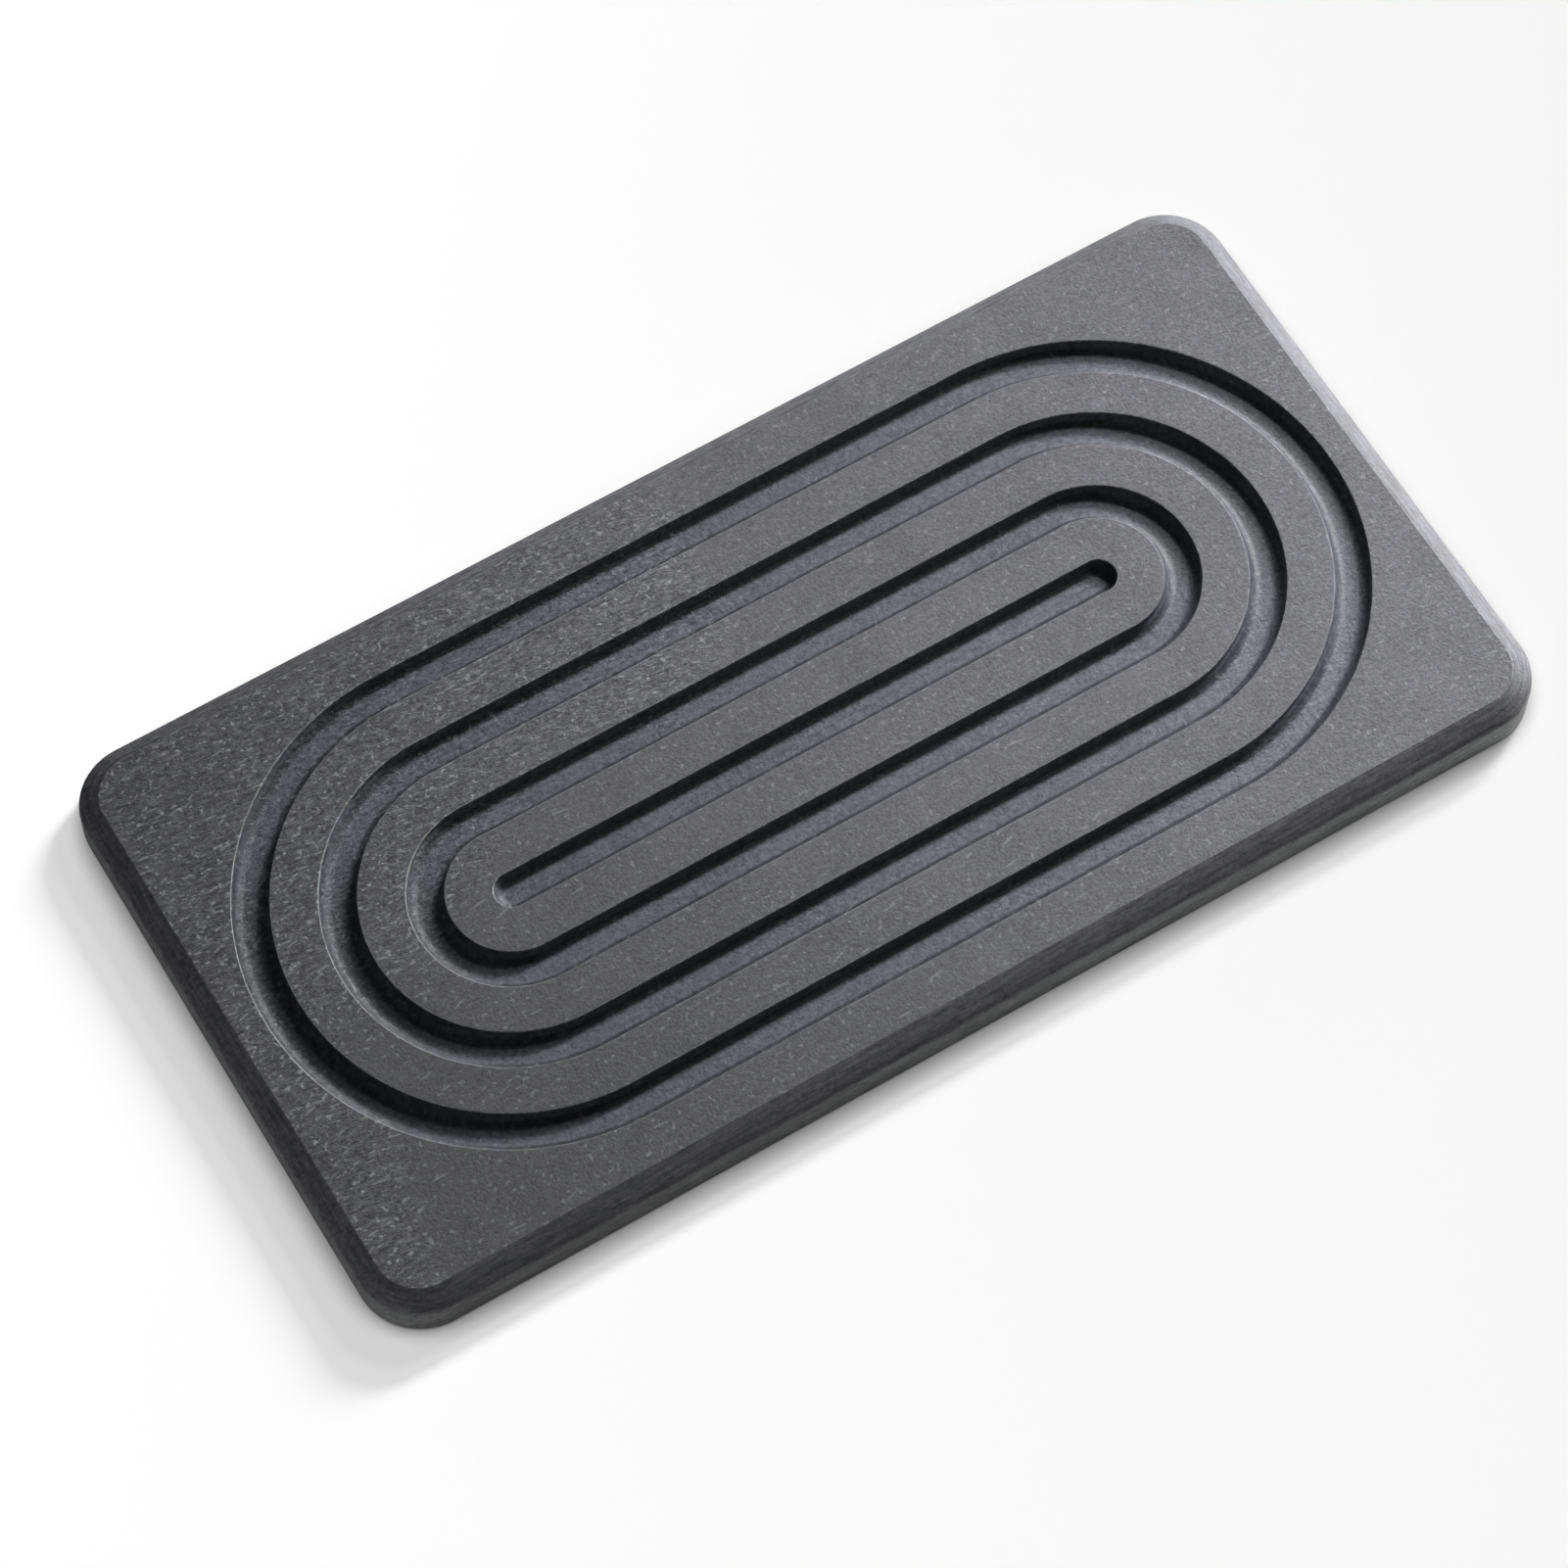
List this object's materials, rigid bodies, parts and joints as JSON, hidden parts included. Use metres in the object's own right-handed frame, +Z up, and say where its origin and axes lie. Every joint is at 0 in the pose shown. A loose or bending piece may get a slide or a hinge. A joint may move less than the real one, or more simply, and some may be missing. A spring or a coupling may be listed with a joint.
{
  "type": "stone drying tray",
  "caption": "Rectangular dark stone slab with a moulded top edge, ring-shaped drainage grooves around a straight slot, and small foot pads underneath.",
  "frame": {"origin": "middle of the footprint, on the surface that the foot pads stand on", "axes": "+X along the tray's length, +Y across it, +Z up out of the grooved face"},
  "size_m": [0.25, 0.129, 0.0105],
  "materials": {
    "pressed_stone": "matte slate grey with short pale fibres, finely sanded",
    "pad_rubber": "soft matte black rubber"
  },
  "bodies": {
    "root": {"stone_slab": "pressed_stone", "foot_pad_front_left": "pad_rubber", "foot_pad_front_right": "pad_rubber", "foot_pad_back_left": "pad_rubber", "foot_pad_back_right": "pad_rubber"}
  },
  "joints": []
}
